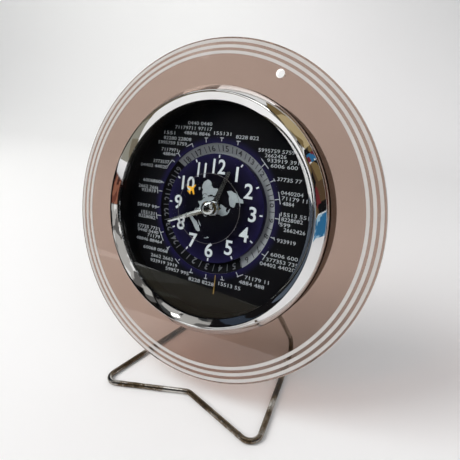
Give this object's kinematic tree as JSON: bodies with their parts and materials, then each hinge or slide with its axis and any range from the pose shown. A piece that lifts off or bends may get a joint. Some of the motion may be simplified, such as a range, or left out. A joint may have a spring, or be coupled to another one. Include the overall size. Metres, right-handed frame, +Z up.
{
  "type": "world time clock",
  "caption": "Desk clock: a clear disc round a chromed bezel and glass, a world time dial with a turning day and night ring, and a bent wire stand.",
  "frame": {"origin": "on the floor, in the middle of the clock's width and depth", "axes": "+Z up; the dial looks towards -Y and leans back by 13.3 degrees; +X is to the right seen from the front"},
  "size_m": [0.2, 0.089, 0.2079],
  "materials": {
    "clear_panel": "clear tinted acrylic",
    "silver_print": "silver-white print",
    "chromed_ring": "polished chrome",
    "clear_glass": "clear",
    "black_plastic": "matte",
    "black_dial": "satin black",
    "day_print": "printed, half silver-grey and half black",
    "metal_hand": "polished",
    "clear_plastic": "clear",
    "yellow_paint": "gloss orange-yellow",
    "case_plastic": "satin",
    "nickel_wire": "worn nickel plate",
    "steel": "satin",
    "brass": "satin",
    "white_plastic": "matte",
    "battery_can": "satin",
    "magnet": "satin",
    "copper": "enamelled",
    "board_green": "satin",
    "chip_black": "satin"
  },
  "bodies": {
    "case": {"disc_panel": "clear_panel", "disc_rings": "silver_print", "bezel": "chromed_ring", "lens": "clear_glass", "spacer_ring": "black_plastic", "outer_dial": "black_dial", "centre_dial": "black_dial", "dial_nut": "brass", "dial_carrier": "black_plastic", "rear_case": "case_plastic", "movement_hood": "case_plastic", "case_screws": "steel", "bezel_screws": "steel", "movement_screws": "steel", "stand_sockets": "nickel_wire", "movement_base": "black_plastic", "middle_plate": "black_plastic", "plate_spacers": "black_plastic", "train_bridge": "black_plastic", "movement_cover": "black_plastic", "battery": "battery_can", "battery_spring": "steel", "battery_plate": "steel", "stator": "steel", "coil_core": "steel", "coil_bobbin": "black_plastic", "coil_winding": "copper", "circuit_board": "board_green", "chip": "chip_black", "quartz_crystal": "steel"},
    "stand": {"stand_wire": "nickel_wire"},
    "door": {"battery_door": "case_plastic"},
    "minute": {"cannon_pinion": "brass", "minute_hand": "metal_hand"},
    "motion": {"minute_wheel": "brass"},
    "hour": {"hour_wheel": "white_plastic", "hour_hand": "metal_hand"},
    "idler": {"day_idler": "white_plastic"},
    "day": {"day_wheel": "white_plastic", "day_dish": "day_print"},
    "setting": {"setting_arbor": "steel", "setting_knob": "black_plastic"},
    "seconds": {"second_arbor": "steel", "seconds_collar": "brass", "seconds_disc": "clear_plastic", "hub_cap": "chromed_ring", "aeroplane": "yellow_paint"},
    "third": {"third_wheel": "brass"},
    "centre": {"centre_wheel": "brass"},
    "fifth": {"fifth_wheel": "brass"},
    "rotor": {"rotor_pinion": "steel", "rotor_magnet": "magnet"}
  },
  "joints": [
    {"name": "stand_pull", "type": "slide", "parent": "case", "child": "stand", "axis": [0, 0.6157, -0.788], "range_m": [0, 0.03]},
    {"name": "door_lift", "type": "slide", "parent": "case", "child": "door", "axis": [0, 0.973, -0.2307], "range_m": [0, 0.03]},
    {"name": "minute_spin", "type": "hinge", "parent": "case", "child": "minute", "pos_m": [0, 0.00072, 0.10933], "axis": [0, 0.973, -0.2307], "continuous": true},
    {"name": "motion_spin", "type": "hinge", "parent": "case", "child": "motion", "pos_m": [0.00606, 0.01548, 0.10224], "axis": [0, 0.973, -0.2307], "continuous": true},
    {"name": "hour_spin", "type": "hinge", "parent": "case", "child": "hour", "pos_m": [0, 0.00228, 0.10896], "axis": [0, 0.973, -0.2307], "continuous": true},
    {"name": "idler_spin", "type": "hinge", "parent": "case", "child": "idler", "pos_m": [-0.00213, 0.01654, 0.11798], "axis": [0, 0.973, -0.2307], "continuous": true},
    {"name": "day_spin", "type": "hinge", "parent": "case", "child": "day", "pos_m": [0, 0.00889, 0.10739], "axis": [0, 0.973, -0.2307], "continuous": true},
    {"name": "setting_spin", "type": "hinge", "parent": "case", "child": "setting", "pos_m": [0.0133, 0.01519, 0.10099], "axis": [0, 0.973, -0.2307], "continuous": true},
    {"name": "seconds_spin", "type": "hinge", "parent": "case", "child": "seconds", "pos_m": [0, -0.0023, 0.11005], "axis": [0, 0.973, -0.2307], "continuous": true},
    {"name": "third_spin", "type": "hinge", "parent": "case", "child": "third", "pos_m": [-0.0102, 0.02037, 0.10467], "axis": [0, 0.973, -0.2307], "continuous": true},
    {"name": "centre_spin", "type": "hinge", "parent": "case", "child": "centre", "pos_m": [0, 0.01872, 0.10506], "axis": [0, 0.973, -0.2307], "continuous": true},
    {"name": "fifth_spin", "type": "hinge", "parent": "case", "child": "fifth", "pos_m": [0.0051, 0.02475, 0.11271], "axis": [0, 0.973, -0.2307], "continuous": true},
    {"name": "rotor_spin", "type": "hinge", "parent": "case", "child": "rotor", "pos_m": [0.01299, 0.02541, 0.11551], "axis": [0, 0.973, -0.2307], "continuous": true}
  ],
  "couplings": [
    {"joint": "motion_spin", "follows": "minute_spin", "ratio": -0.33333},
    {"joint": "hour_spin", "follows": "minute_spin", "ratio": 0.083333},
    {"joint": "idler_spin", "follows": "minute_spin", "ratio": -0.0625},
    {"joint": "day_spin", "follows": "minute_spin", "ratio": 0.041667},
    {"joint": "setting_spin", "follows": "minute_spin", "ratio": 0.83333},
    {"joint": "third_spin", "follows": "seconds_spin", "ratio": -0.13333},
    {"joint": "centre_spin", "follows": "seconds_spin", "ratio": 0.016667},
    {"joint": "fifth_spin", "follows": "seconds_spin", "ratio": -5},
    {"joint": "rotor_spin", "follows": "seconds_spin", "ratio": 30}
  ]
}
